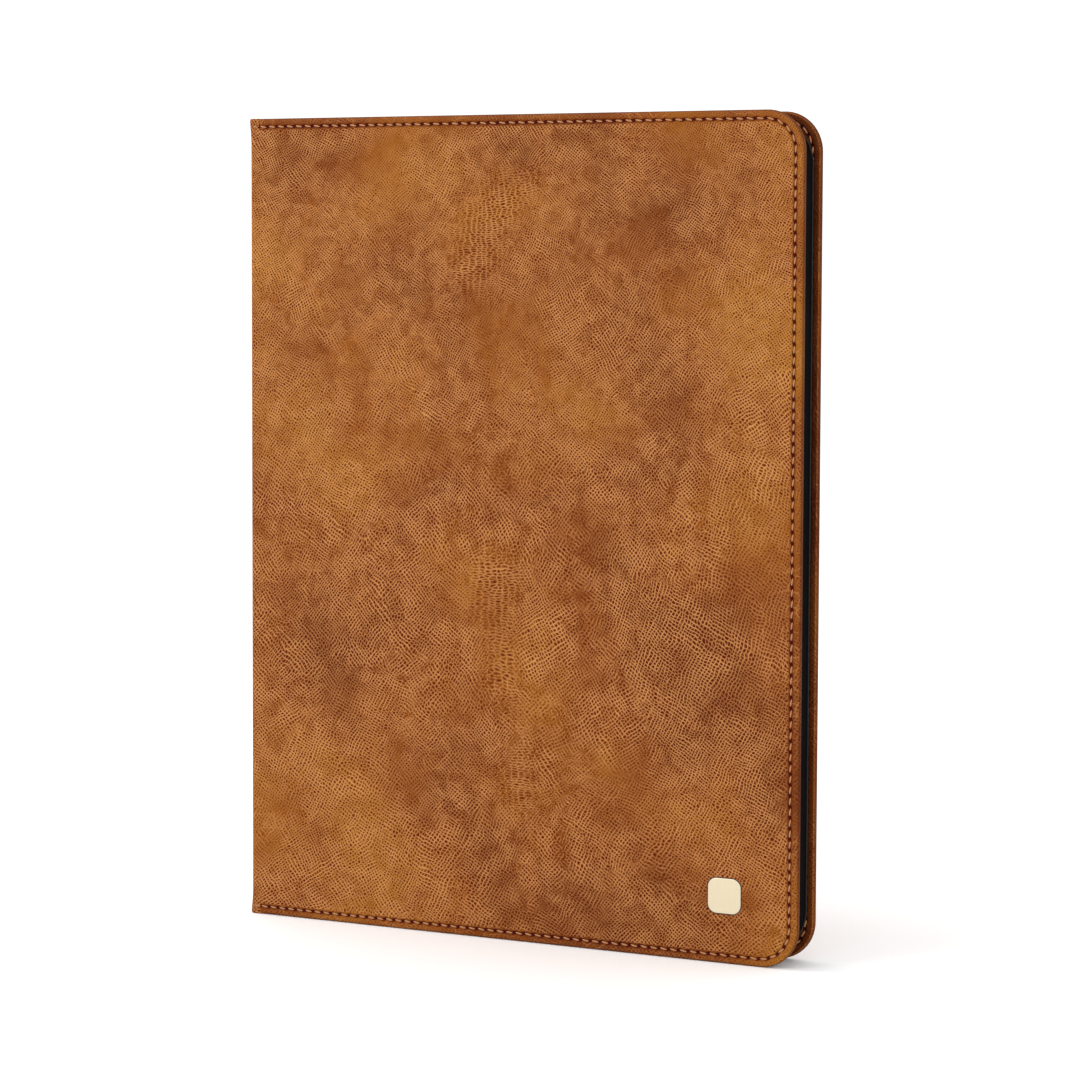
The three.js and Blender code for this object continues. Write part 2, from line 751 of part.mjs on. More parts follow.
function circuitBoards() {
  const middle = (mainboard.z0 + mainboard.z1) / 2;
  const quarter = MAINBOARD_WIDTH / 4;
  const half = HALL_SENSOR / 2;
  const sensorX = mainboard.x0 + quarter + PROCESSOR_SHIELD;
  const switchTop = reader.z1 - HOUSING_WALL - BUTTON_FLANGE - BUTTON_TRAVEL - PART_GAP;
  add(
    "mainboard",
    block(mainboard.x0, mainboard.x1, boardFront, boardRear, mainboard.z0, mainboard.z1),
    material.circuit,
  );
  add(
    "processor_shield",
    shieldCan(mainboard.x0 + quarter, middle, PROCESSOR_SHIELD),
    material.shield,
  );
  add("radio_shield", shieldCan(mainboard.x1 - quarter, middle, RADIO_SHIELD), material.shield);
  add(
    "hall_sensor",
    block(
      sensorX - half,
      sensorX + half,
      boardFront - SHIELD_HEIGHT / 2,
      boardFront,
      middle - half,
      middle + half,
    ),
    material.black,
  );
  add(
    "button_switch",
    block(
      buttonX - SWITCH_WIDTH / 2,
      buttonX + SWITCH_WIDTH / 2,
      boardFront - BUTTON_WIDTH,
      boardFront,
      switchTop - SWITCH_DEPTH,
      switchTop,
    ),
    material.aluminium,
  );
}

function powerButton() {
  const half = BUTTON_LENGTH / 2;
  const width = BUTTON_WIDTH / 2;
  const wall = reader.z1 - HOUSING_WALL - PART_GAP;
  const cap = block(
    buttonX - half,
    buttonX + half,
    buttonY - width,
    buttonY + width,
    wall - BUTTON_FLANGE,
    reader.z1 + BUTTON_PROUD,
  );
  const flange = block(
    buttonX - half - BUTTON_FLANGE_REACH,
    buttonX + half + BUTTON_FLANGE_REACH,
    buttonY - width - BUTTON_FLANGE_REACH,
    buttonY + width - BUTTON_GAP,
    wall - BUTTON_FLANGE,
    wall,
  );
  add("power_button", join(cap, flange), material.housing);
}

function portBoardAndFlex() {
  const z0 = reader.z0 + PORT_BOARD_FROM_TAIL;
  const z1 = z0 + PORT_BOARD_HEIGHT;
  const half = PORT_BOARD_WIDTH / 2;
  const board = block(readerCentre - half, readerCentre + half, boardFront, boardRear, z0, z1);
  const outer = readerCentre - BATTERY_WIDTH / 2 - FLEX_WIDTH * 2;
  const inner = outer + FLEX_WIDTH;
  const head = mainboard.z0 + FLEX_WIDTH;
  const flex = new THREE.Shape();
  flex.moveTo(outer, z1 - FLEX_WIDTH);
  flex.lineTo(readerCentre - half + FLEX_WIDTH, z1 - FLEX_WIDTH);
  flex.lineTo(readerCentre - half + FLEX_WIDTH, z1);
  flex.lineTo(inner, z1);
  flex.lineTo(inner, mainboard.z0);
  flex.lineTo(mainboard.x0 + FLEX_WIDTH, mainboard.z0);
  flex.lineTo(mainboard.x0 + FLEX_WIDTH, head);
  flex.lineTo(outer, head);
  add("port_board", board, material.circuit);
  add("port_flex", slab(flex, boardFront - FLEX_THICKNESS, boardFront), material.copper);
}

function chassisScrews() {
  screwPlaces().forEach(([x, z], i) => {
    const seat = displayRear;
    const near = seat - SCREW_HEAD_HEIGHT;
    const body = join(
      bar(SCREW_HEAD, near, seat, x, z),
      bar(SCREW_SHANK, seat - SCREW_HEAD_HEIGHT / 2, seat + SCREW_LENGTH, x, z),
    );
    const recess = bar(SCREW_RECESS, near - OVERCUT, near + SCREW_RECESS_DEPTH, x, z, HEX_SIDES);
    add(`chassis_screw_${i + 1}`, cut(body, recess), material.shield);
  });
}

frontCover();
spine();
backCover();
trayAndBond();
add("rear_housing", rearHousing(), material.housing);
add("mid_frame", midFrame(), material.aluminium);
displayStack();
battery();
circuitBoards();
powerButton();
portBoardAndFlex();
usbPort();
chassisScrews();

export default folio;
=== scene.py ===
"""Looks for the e-reader in its leather book cover. Metres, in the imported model's frame."""

import math

import bmesh
import bpy
from mathutils import Matrix, Vector, noise


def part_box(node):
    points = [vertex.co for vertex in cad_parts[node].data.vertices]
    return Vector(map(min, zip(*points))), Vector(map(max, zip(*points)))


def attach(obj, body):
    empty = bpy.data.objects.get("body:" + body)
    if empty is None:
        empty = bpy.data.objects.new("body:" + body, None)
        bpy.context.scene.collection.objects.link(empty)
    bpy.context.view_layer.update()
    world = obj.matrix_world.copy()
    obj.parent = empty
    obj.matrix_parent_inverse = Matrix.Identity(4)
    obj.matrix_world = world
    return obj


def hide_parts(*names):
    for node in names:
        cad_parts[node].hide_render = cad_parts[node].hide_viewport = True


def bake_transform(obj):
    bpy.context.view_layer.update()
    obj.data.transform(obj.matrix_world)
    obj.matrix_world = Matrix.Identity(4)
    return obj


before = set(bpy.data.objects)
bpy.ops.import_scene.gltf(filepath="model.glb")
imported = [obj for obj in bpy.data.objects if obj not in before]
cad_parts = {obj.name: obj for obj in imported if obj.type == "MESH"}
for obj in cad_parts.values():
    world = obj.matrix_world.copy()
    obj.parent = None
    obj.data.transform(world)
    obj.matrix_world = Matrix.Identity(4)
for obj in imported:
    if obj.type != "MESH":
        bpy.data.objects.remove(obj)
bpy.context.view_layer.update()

MM = 0.001

# Camera: its angle and distance, and what it looks at from the middle of the footprint
CAMERA_AZIMUTH = 26.045
CAMERA_ELEVATION = 3.82
CAMERA_ROLL = 0.215
CAMERA_DISTANCE = 979.6 * MM
CAMERA_TARGET = Vector((4.7, 0, 143.24)) * MM
CAMERA_LENS = 106.67
CAMERA_SENSOR = 36
CAMERA_SHIFT_DOWN = 0.06

# Studio: strength of the white world, then each light's name, place, size and watts
WORLD_STRENGTH = 1.12
LIGHTS = (
    ("key", (-0.55, -0.95, 0.75), 0.6, 2.5),
    ("grain_light", (-0.5, -0.2, 0.9), 0.25, 2),
)
FLOOR_HALF = 4

# Leather covers; undulations to a metre
CORNER_RADIUS = 12 * MM
TURN_IN = 5.4 * MM
EDGE_ROLL = 1.15 * MM
EDGE_CROWN = 0.1 * MM
LEATHER_UNDULATION = 0.05 * MM
UNDULATIONS = 38
LEDGE = 0.8 * MM

# Grain of the hide: cells to a metre, where its level creases cross, how it tightens upwards,
# and how dark and red the leather turned in to the inside is painted; its darkness is painted
# shade
GRAIN = 1060
NECK_AT = 0.008
FINER_HEAD = 1.28
FINER_ABOUT = 0.2
GRAIN_RELIEF = 0.14 * MM
TURNED_PAINTED_SHADE = 0.42
TURNED_RED = 0.25

# Seam: its holes, its thread, and the part of a stitch that lies on a fold
PITCH = 3.25 * MM
STATIONS_PER_STITCH = 3
SEAM_INSET = 2.6 * MM
SEAM_DIP = 0.14 * MM
HOLE_DIP = 0.34 * MM
THREAD_RADIUS = 0.26 * MM
THREAD_SIDES = 8
STITCH_RINGS = 7
STITCH_SLANT = 0.3 * MM
STITCH_DIVE = 0.42 * MM
STITCH_ARCH = 0.49 * MM
FOLD_STITCH = 0.72
NO_SEAM = (0, 9)

# Folds, and the strips of leather and lining that cover them and the spine
FOLD_RADIUS = 1.2 * MM
FOLD_LEATHER = 1.0 * MM
FOLD_LINING = 0.4 * MM
END_FLARE = 0.55 * MM
END_FLARE_REACH = 7 * MM
END_ROLL = 0.9 * MM
END_SETBACK = 0.35 * MM
STRIP_ROLL = 0.25 * MM
STRIP_ROWS = 24
LAYER_GAP = 0.02 * MM

# Badge and bond
BADGE_RADIUS = 2.8 * MM
SEAT_WIDTH = 0.3 * MM
BOND_RADIUS = 13.7 * MM
BOND_BULGE = 0.1 * MM

front_lo, front_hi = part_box("front_leather")
spine_lo, spine_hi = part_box("spine_leather")
lining_lo, lining_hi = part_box("front_lining")
spine_board_lo, spine_board_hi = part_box("spine_board")
bond_lo, bond_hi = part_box("tray_bond")
badge_lo, badge_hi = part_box("badge_plate")

HEIGHT = front_hi.z
X_SPINE = spine_lo.x
X_FORE = front_hi.x
Y_FRONT = front_lo.y
Y_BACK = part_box("back_leather")[1].y
COVER = front_hi.y - front_lo.y
FOLD_ZONE = lining_lo.x - X_SPINE - 0.15 * MM
X_COVER = X_SPINE + FOLD_ZONE
SPINE_EDGE = spine_board_lo.y - Y_FRONT

# ---------------------------------------------------------------- camera, light and floor


def make_camera():
    az = math.radians(CAMERA_AZIMUTH)
    el = math.radians(CAMERA_ELEVATION)
    roll = math.radians(CAMERA_ROLL)
    back = Vector(
        (math.sin(az) * math.cos(el), -math.cos(az) * math.cos(el), math.sin(el))
    )
    right = (-back).cross(Vector((0, 0, 1))).normalized()
    up = right.cross(-back)
    turned_right = right * math.cos(roll) + up * math.sin(roll)
    turned_up = up * math.cos(roll) - right * math.sin(roll)
    data = bpy.data.cameras.new("camera")
    data.lens = CAMERA_LENS
    data.sensor_width = CAMERA_SENSOR
    data.shift_y = -CAMERA_SHIFT_DOWN
    data.clip_start = 0.01
    cam = bpy.data.objects.new("camera", data)
    turn = Matrix((turned_right, turned_up, back)).transposed().to_4x4()
    cam.matrix_world = (
        Matrix.Translation(CAMERA_TARGET + back * CAMERA_DISTANCE) @ turn
    )
    bpy.context.scene.collection.objects.link(cam)
    bpy.context.scene.camera = cam


def area_light(name, place, aim, size, watts):
    data = bpy.data.lights.new(name, "AREA")
    data.shape = "DISK"
    data.size = size
    data.energy = watts
    light = bpy.data.objects.new(name, data)
    light.location = place
    light.rotation_euler = (
        (Vector(aim) - Vector(place)).to_track_quat("-Z", "Y").to_euler()
    )
    bpy.context.scene.collection.objects.link(light)


def make_light():
    world = bpy.data.worlds.new("studio")
    world.use_nodes = True
    background = world.node_tree.nodes["Background"]
    background.inputs["Color"].default_value = (1, 1, 1, 1)
    background.inputs["Strength"].default_value = WORLD_STRENGTH
    bpy.context.scene.world = world
    aim = (0, 0, HEIGHT / 2)
    for name, place, size, watts in LIGHTS:
        area_light(name, place, aim, size, watts)
    bpy.context.scene.view_settings.view_transform = "Standard"


def make_floor():
    mesh = bpy.data.meshes.new("floor")
    signs = ((-1, -1), (1, -1), (1, 1), (-1, 1))
    corners = [(x * FLOOR_HALF, y * FLOOR_HALF, 0) for x, y in signs]
    mesh.from_pydata(corners, [], [(0, 1, 2, 3)])
    floor = bpy.data.objects.new("floor", mesh)
    bpy.context.scene.collection.objects.link(floor)
    mesh.materials.append(floor_material())


# ---------------------------------------------------------------- materials


class Nodes:
    """A material's node tree, with short calls for the nodes used here."""

    def __init__(self, name):
        self.material = bpy.data.materials.new(name)
        self.material.use_nodes = True
        self.tree = self.material.node_tree
        self.shader = self.tree.nodes["Principled BSDF"]

    def put(self, socket, value):
        if isinstance(value, bpy.types.NodeSocket):
            self.tree.links.new(value, socket)
        else:
            socket.default_value = value

    def shade(self, **values):
        for key, value in values.items():
            self.put(self.shader.inputs[key.replace("_", " ")], value)

    def math(self, operation, a, b=0.0):
        node = self.tree.nodes.new("ShaderNodeMath")
        node.operation = operation
        self.put(node.inputs[0], a)
        self.put(node.inputs[1], b)
        return node.outputs[0]

    def vector(self, operation, a, b=(0, 0, 0), scale=1.0):
        node = self.tree.nodes.new("ShaderNodeVectorMath")
        node.operation = operation
        self.put(node.inputs[0], a)
        if operation == "SCALE":
            self.put(node.inputs["Scale"], scale)
        else:
            self.put(node.inputs[1], b)
        return node.outputs[0]

    def uv(self, layer):
        node = self.tree.nodes.new("ShaderNodeUVMap")
        node.uv_map = layer
        return node.outputs[0]

    def place(self):
        return self.tree.nodes.new("ShaderNodeTexCoord").outputs["Object"]

    def split(self, vector):
        node = self.tree.nodes.new("ShaderNodeSeparateXYZ")
        self.put(node.inputs[0], vector)
        return node.outputs

    def turned(self, vector, angle):
        node = self.tree.nodes.new("ShaderNodeVectorRotate")
        node.rotation_type = "Z_AXIS"
        self.put(node.inputs["Vector"], vector)
        node.inputs["Angle"].default_value = angle
        return node.outputs[0]

    def blend(self, share, a, b):
        node = self.tree.nodes.new("ShaderNodeMix")
        node.data_type = "FLOAT"
        self.put(node.inputs[0], share)
        self.put(node.inputs[2], a)
        self.put(node.inputs[3], b)
        return node.outputs[0]

    def noise(self, at, scale, detail=2.0, roughness=0.5, distortion=0.0, colour=False):
        node = self.tree.nodes.new("ShaderNodeTexNoise")
        self.put(node.inputs["Vector"], at)
        node.inputs["Scale"].default_value = scale
        node.inputs["Detail"].default_value = detail
        node.inputs["Roughness"].default_value = roughness
        node.inputs["Distortion"].default_value = distortion
        return node.outputs["Color" if colour else "Fac"]

    def cells(self, at, scale, randomness=1.0):
        node = self.tree.nodes.new("ShaderNodeTexVoronoi")
        node.feature = "DISTANCE_TO_EDGE"
        node.voronoi_dimensions = "2D"
        self.put(node.inputs["Vector"], at)
        node.inputs["Scale"].default_value = scale
        node.inputs["Randomness"].default_value = randomness
        return node.outputs["Distance"]

    def spread(self, value, low, high, to_low=0.0, to_high=1.0):
        node = self.tree.nodes.new("ShaderNodeMapRange")
        node.interpolation_type = "SMOOTHSTEP"
        for socket, v in zip(node.inputs, (value, low, high, to_low, to_high)):
            self.put(socket, v)
        return node.outputs[0]

    def mix(self, share, a, b, blend="MIX"):
        node = self.tree.nodes.new("ShaderNodeMix")
        node.data_type = "RGBA"
        node.blend_type = blend
        self.put(node.inputs[0], share)
        self.put(node.inputs[6], a)
        self.put(node.inputs[7], b)
        return node.outputs[2]

    def ramp(self, value, stops):
        node = self.tree.nodes.new("ShaderNodeValToRGB")
        self.put(node.inputs[0], value)
        elements = node.color_ramp.elements
        while len(elements) < len(stops):
            elements.new(0.5)
        for element, (place, colour) in zip(elements, stops):
            element.position = place
            element.color = (*colour, 1)
        return node.outputs[0]

    def bump(self, height, distance, strength=1.0):
        node = self.tree.nodes.new("ShaderNodeBump")
        node.inputs["Strength"].default_value = strength
        node.inputs["Distance"].default_value = distance
        self.put(node.inputs["Height"], height)
        self.put(self.shader.inputs["Normal"], node.outputs[0])


def srgb(r, g, b):
    """Linear colour from eight-bit sRGB values."""
    return tuple(
        c / 12.92 if c <= 0.04045 else ((c + 0.055) / 1.055) ** 2.4
        for c in (r / 255, g / 255, b / 255)
    )


HIDE_TONES = (
    (0.36, srgb(97, 43, 11)),
    (0.46, srgb(113, 55, 14)),
    (0.54, srgb(129, 69, 18)),
    (0.66, srgb(150, 93, 27)),
)
CREASE = srgb(197, 137, 82)
WRINKLE = srgb(188, 124, 70)
PIT = srgb(82, 8, 1)
CHANNEL_PAINTED_SHADE = srgb(88, 34, 14)
RIM_PAINTED_SHADE = srgb(70, 20, 8)
HOLE_PAINTED_SHADE = srgb(70, 9, 2)
THREAD = srgb(210, 146, 102)
THREAD_END_PAINTED_SHADE = srgb(70, 16, 6)
SUEDE = srgb(96, 62, 40)


def plain_material(name, colour, roughness, metallic=0.0, grain=60.0, depth=0.0, gloss=0.5):
    """Even finish with a little broken-up gloss, and fine relief where depth is given."""
    n = Nodes(name)
    at = n.place()
    cloud = n.noise(at, grain, 3)
    darker = tuple(c * 0.9 for c in colour)
    n.shade(
        Base_Color=n.mix(cloud, (*darker, 1), (*colour, 1)),
        Roughness=n.spread(cloud, 0.3, 0.7, roughness * 0.9, roughness * 1.1),
        Metallic=metallic,
    )
    n.shader.inputs["Specular IOR Level"].default_value = gloss
    if depth:
        n.bump(n.noise(at, grain * 40, 2), depth, 0.6)
    return n.material


def floor_material():
    n = Nodes("floor_white")
    n.shade(
        Base_Color=n.mix(n.noise(n.place(), 3, 2), (0.98, 0.98, 0.98, 1), (1, 1, 1, 1)),
        Roughness=0.9,
    )
    n.shader.inputs["Specular IOR Level"].default_value = 0.2
    return n.material


def leather_grain(n, at, turn, along, across, ordered, crossed=True):
    """Grain cells turned by an angle: distance to the nearest edge, and the crease lines."""
    size = n.vector("MULTIPLY", n.turned(at, turn), (along, across, 1))
    edge = n.cells(size, GRAIN, randomness=ordered)
    columns, rows, _ = n.split(n.vector("SCALE", size, scale=GRAIN))
    lines = []
    for count, shift in ((rows, 0.0), (columns, 0.3)):
        count = n.math("ADD", count, 0.5 - ordered / 2)
        line = n.math("ABSOLUTE", n.math("SUBTRACT", count, n.math("ROUND", count)))
        broken = n.spread(n.noise(n.vector("ADD", at, (shift, 0, 0)), 150, 2), 0.44, 0.56)
        lines.append(n.math("MULTIPLY", n.spread(line, 0.03, 0.2, 1.0, 0.0), broken))
    return edge, n.math("MAXIMUM", *lines) if crossed else lines[0]


def grain_place(n, flat, height):
    """Where the grain lies on the hide: it drifts, shivers and tightens towards the head."""
    at = flat
    for scale, detail, reach in ((26, 2, 0.009), (260, 1, 0.0014)):
        swirl = n.noise(flat, scale, detail, colour=True)
        swirl = n.vector("SUBTRACT", swirl, (0.5, 0.5, 0.5))
        at = n.vector("ADD", at, n.vector("SCALE", swirl, scale=reach))
    at = n.vector("SUBTRACT", at, (0, FINER_ABOUT, 0))
    return n.vector("SCALE", at, scale=n.spread(height, 0.06, HEIGHT, 1.0, FINER_HEAD))


def neck_share(n, flat, u):
    """One upright band, as on a hide's neck, where the creases run level."""
    wander = n.math("MULTIPLY", n.math("SUBTRACT", n.noise(flat, 9, 2), 0.5), 0.09)
    across = n.math("ADD", n.math("ADD", u, NECK_AT), wander)
    band = n.spread(n.math("ABSOLUTE", across), 0.004, 0.017, 1.0, 0.0)
    return n.math("MULTIPLY", band, n.spread(n.noise(flat, 17, 1), 0.42, 0.58))


def hide_grain(n, flat, at, u):
    """The grain of the whole hide, whose regions lean differently, as leather_grain gives it."""
    edge, line = leather_grain(n, at, 0.72, 1.0, 0.94, 0.62)
    rising = n.spread(n.noise(flat, 15, 1), 0.5, 0.55)
    falling = n.spread(n.noise(n.vector("ADD", flat, (0.7, 0.2, 0)), 15, 1), 0.52, 0.57)
    for share, grain in (
        (rising, leather_grain(n, at, 0.98, 1.0, 0.88, 0.55)),
        (falling, leather_grain(n, at, 0.5, 0.92, 1.0, 0.6)),
        (neck_share(n, flat, u), leather_grain(n, at, 0.0, 0.42, 1.05, 0.75, crossed=False)),
    ):
        edge = n.blend(share, edge, grain[0])
        line = n.blend(share, line, grain[1])
    return edge, line


def seam_marks(n):
    """Needle holes and the channel they lie in, both darkened as painted shade, painted shade on
    the outermost edge, and where grain is left.
    """
    along, offset, _ = n.split(n.uv("seam"))
    near = n.math("ABSOLUTE", offset)
    along = n.math("ADD", along, n.math("MULTIPLY", offset, 0.3))
    along = n.math("SUBTRACT", along, n.math("ROUND", along))
    # hole: a dark ellipse at each needle hole, painted shade
    hole = n.math(
        "ADD",
        n.math("POWER", n.math("DIVIDE", along, 0.34), 2.0),
        n.math("POWER", n.math("DIVIDE", near, 0.6), 2.0),
    )
    hole = n.spread(hole, 0.6, 1.3, 1.0, 0.0)
    # channel: darkening along the seam groove, painted shade
    channel = n.spread(near, 0.3, 1.0, 1.0, 0.0)
    # rim: the outermost edge of the roll darkened, painted shade where the edge turns away
    rim = n.spread(offset, -2.45, -2.15, 1.0, 0.0)
    inside = n.spread(offset, -0.2, 0.2, 0.6, 1.0)
    return hole, channel, rim, n.math("MULTIPLY", n.spread(near, 0.5, 1.2), inside)


def hide_marks(n, flat, at, grain, left):
    """Dark pits, pale creases round them, and fine wrinkles, faint where little grain is left."""
    edge, line = grain
    strength = n.spread(n.noise(flat, 30, 3), 0.28, 0.55, 0.62, 1.0)
    strength = n.math("MULTIPLY", strength, left)
    speck = n.spread(n.noise(flat, 640, 1), 0.32, 0.6, 0.3, 1.0)
    pit = n.math("MULTIPLY", n.spread(edge, 0.17, 0.4), strength)
    pit = n.math("MULTIPLY", pit, speck)
    crease = n.math("MAXIMUM", n.spread(edge, 0.02, 0.14, 0.75, 0.0), line)
    crease = n.math("MULTIPLY", crease, n.math("MULTIPLY", strength, strength))
    wrinkle = n.cells(n.vector("MULTIPLY", at, (0.8, 1.3, 1)), 210)
    broken = n.spread(n.noise(flat, 60, 2), 0.42, 0.6)
    wrinkle = n.math("MULTIPLY", n.spread(wrinkle, 0.0, 0.07, 1.0, 0.0), broken)
    return pit, crease, wrinkle


def hide_tone(n, flat, at):
    """How dark or light the hide is: wide clouds with wisps in them."""
    cloud = n.noise(flat, 17, 3, 0.45, 0.3)
    wisp = n.noise(n.vector("MULTIPLY", at, (1.5, 0.8, 1)), 90, 4, 0.62, 1.0)
    return n.math("ADD", n.math("MULTIPLY", cloud, 0.85), n.math("MULTIPLY", wisp, 0.15))


def hide_relief(n, flat, pit, crease, hole):
    """Pits and needle holes sink, creases stand up, and pores roughen all of it."""
    height = n.math("MULTIPLY", pit, -1.0)
    pores = n.noise(flat, 1900, 2)
    for mark, rise in ((crease, 0.4), (pores, 0.3), (hole, -2.5)):
        height = n.math("ADD", height, n.math("MULTIPLY", mark, rise))
    n.bump(height, GRAIN_RELIEF, 0.9)


def leather_material(name, shade=1.0, red=0.0):
    """Pull-up leather: cloudy tan, a net of pale creases round dark pits, needle holes darkened as
    painted shade.
    """
    n = Nodes(name)
    flat = n.uv("flat")
    u, v, _ = n.split(flat)
    at = grain_place(n, flat, v)
    hole, channel, rim, left = seam_marks(n)
    pit, crease, wrinkle = hide_marks(n, flat, at, hide_grain(n, flat, at, u), left)

    tone = hide_tone(n, flat, at)
    colour = n.ramp(tone, HIDE_TONES)
    for mark, share, paint in (
        (crease, 0.92, CREASE),
        (wrinkle, 0.4, WRINKLE),
        (pit, 1.0, PIT),
        # painted shade in the seam groove
        (channel, 0.3, CHANNEL_PAINTED_SHADE),
        # painted shade on the outermost edge
        (rim, 0.6, RIM_PAINTED_SHADE),
        # painted shade in the needle holes
        (hole, 0.95, HOLE_PAINTED_SHADE),
    ):
        colour = n.mix(n.math("MULTIPLY", mark, share), colour, (*paint, 1))
    # shade and red darken and redden the whole leather; the darkening is painted shade, used for
    # the turned-in leather
    tint = (shade, shade * (1 - red), shade * (1 - red * 1.1), 1)
    colour = n.mix(1.0, colour, tint, "MULTIPLY")

    hide_relief(n, flat, pit, crease, hole)
    n.shade(Base_Color=colour, Roughness=n.spread(tone, 0.3, 0.7, 0.66, 0.52))
    n.shader.inputs["Specular IOR Level"].default_value = 0.05
    return n.material


def suede_material(name, colour):
    """Microfibre lining: short nap with brushed light and dark patches."""
    n = Nodes(name)
    flat = n.uv("flat")
    patch = n.noise(n.vector("MULTIPLY", flat, (1, 0.7, 1)), 70, 6, 0.62)
    nap = n.noise(n.vector("MULTIPLY", flat, (1, 0.6, 1)), 1800, 3, 0.7)
    dark = tuple(c * 0.7 for c in colour)
    light = tuple(c * 1.3 for c in colour)
    tone = n.math("ADD", n.math("MULTIPLY", patch, 0.4), n.math("MULTIPLY", nap, 0.6))
    n.shade(
        Base_Color=n.mix(n.spread(tone, 0.35, 0.65), (*dark, 1), (*light, 1)),
        Roughness=0.95,
        Sheen_Weight=0.25,
        Sheen_Roughness=0.5,
    )
    n.shader.inputs["Specular IOR Level"].default_value = 0.1
    n.bump(nap, 0.12 * MM, 0.7)
    return n.material


def thread_material(name, colour):
    """Waxed twisted thread: fine slanting ply lines, and painted shade darkening each stitch
    towards the holes at its ends.
    """
    n = Nodes(name)
    flat = n.uv("flat")
    x, y, _ = n.split(flat)
    turns = n.math("ADD", n.math("MULTIPLY", x, 9.0), n.math("MULTIPLY", y, 3.0))
    ply = n.math("SINE", n.math("MULTIPLY", turns, math.tau))
    dark = tuple(c * 0.4 for c in colour)
    strand = n.mix(n.spread(ply, -0.8, 0.6), (*dark, 1), (*colour, 1))
    # ends darken as painted shade where the thread dives into the holes
    end = n.math("ABSOLUTE", n.math("SUBTRACT", n.math("FRACT", x), 0.5))
    strand = n.mix(n.spread(end, 0.22, 0.4), strand, (*THREAD_END_PAINTED_SHADE, 1))
    n.shade(Base_Color=strand, Roughness=0.7)
    n.shader.inputs["Specular IOR Level"].default_value = 0.2
    n.bump(ply, 0.05 * MM, 0.6)
    return n.material


def screen_material():
    """Electronic paper at rest: pale warm grey with a very fine even speckle."""
    n = Nodes("screen_paper")
    at = n.place()
    speckle = n.noise(at, 5000, 1)
    cloud = n.noise(at, 14, 2)
    tone = n.math("ADD", n.math("MULTIPLY", speckle, 0.5), n.math("MULTIPLY", cloud, 0.5))
    n.shade(
        Base_Color=n.ramp(
            tone, [(0.3, srgb(196, 196, 190)), (0.7, srgb(212, 211, 204))]
        ),
        Roughness=0.8,
    )
    return n.material


def brushed_metal(name, colour, roughness, stretch):
    """Metal with fine straight brushing along one axis."""
    n = Nodes(name)
    lines = n.noise(n.vector("MULTIPLY", n.place(), stretch), 3000, 2)
    dark = tuple(c * 0.88 for c in colour)
    n.shade(
        Base_Color=n.mix(lines, (*dark, 1), (*colour, 1)),
        Roughness=n.spread(lines, 0.3, 0.7, roughness * 0.85, roughness * 1.15),
        Metallic=1.0,
    )
    n.bump(lines, 0.02 * MM, 0.3)
    return n.material


def glass_material():
    n = Nodes("front_glass")
    smear = n.noise(n.place(), 18, 3)
    n.shade(
        Base_Color=(0.02, 0.02, 0.02, 1),
        Roughness=n.spread(smear, 0.3, 0.7, 0.2, 0.26),
        Alpha=0.12,
    )
    return n.material


# ---------------------------------------------------------------- meshes


def make_object(name, verts, faces, flat, seam=None, slots=None, smooth_angle=40):
    """A mesh from points and faces, with UV layers flat (metres) and seam (stitches, mm)."""
    mesh = bpy.data.meshes.new(name)
    mesh.from_pydata(verts, [], faces)
    for layer, values in (("flat", flat), ("seam", seam or [NO_SEAM] * len(verts))):
        uv = mesh.uv_layers.new(name=layer)
        for loop in mesh.loops:
            uv.data[loop.index].uv = values[loop.vertex_index]
    if slots:
        mesh.polygons.foreach_set("material_index", slots)
    bm = bmesh.new()
    bm.from_mesh(mesh)
    bmesh.ops.recalc_face_normals(bm, faces=bm.faces)
    bm.to_mesh(mesh)
    bm.free()
    mesh.polygons.foreach_set("use_smooth", [True] * len(mesh.polygons))
    mesh.set_sharp_from_angle(angle=math.radians(smooth_angle))
    obj = bpy.data.objects.new(name, mesh)
    bpy.context.scene.collection.objects.link(obj)
    return obj


def tube_faces(ring, rings, base=0):
    """Quads round a tube made of rings of points, then a face at each end."""
    faces = []
    for a in range(base, base + (rings - 1) * ring):
        b = a - ring + 1 if (a - base) % ring == ring - 1 else a + 1
        faces.append((a, b, b + ring, a + ring))
    last = base + (rings - 1) * ring
    return faces + [tuple(range(base, base + ring)), tuple(range(last, last + ring))]


def rounded_ring(low, high, radius, grow, arcs):
    """Points (x, z) round a rectangle with rounded corners, grown outwards by a distance."""
    points = []
    reach = radius + grow
    for quarter, (right, up) in enumerate(((1, 1), (0, 1), (0, 0), (1, 0))):
        cx = high.x - radius if right else low.x + radius
        cz = high.z - radius if up else low.z + radius
        for i in range(arcs + 1):
            a = math.pi / 2 * (quarter + i / arcs)
            points.append((cx + reach * math.cos(a), cz + reach * math.sin(a)))
    return points


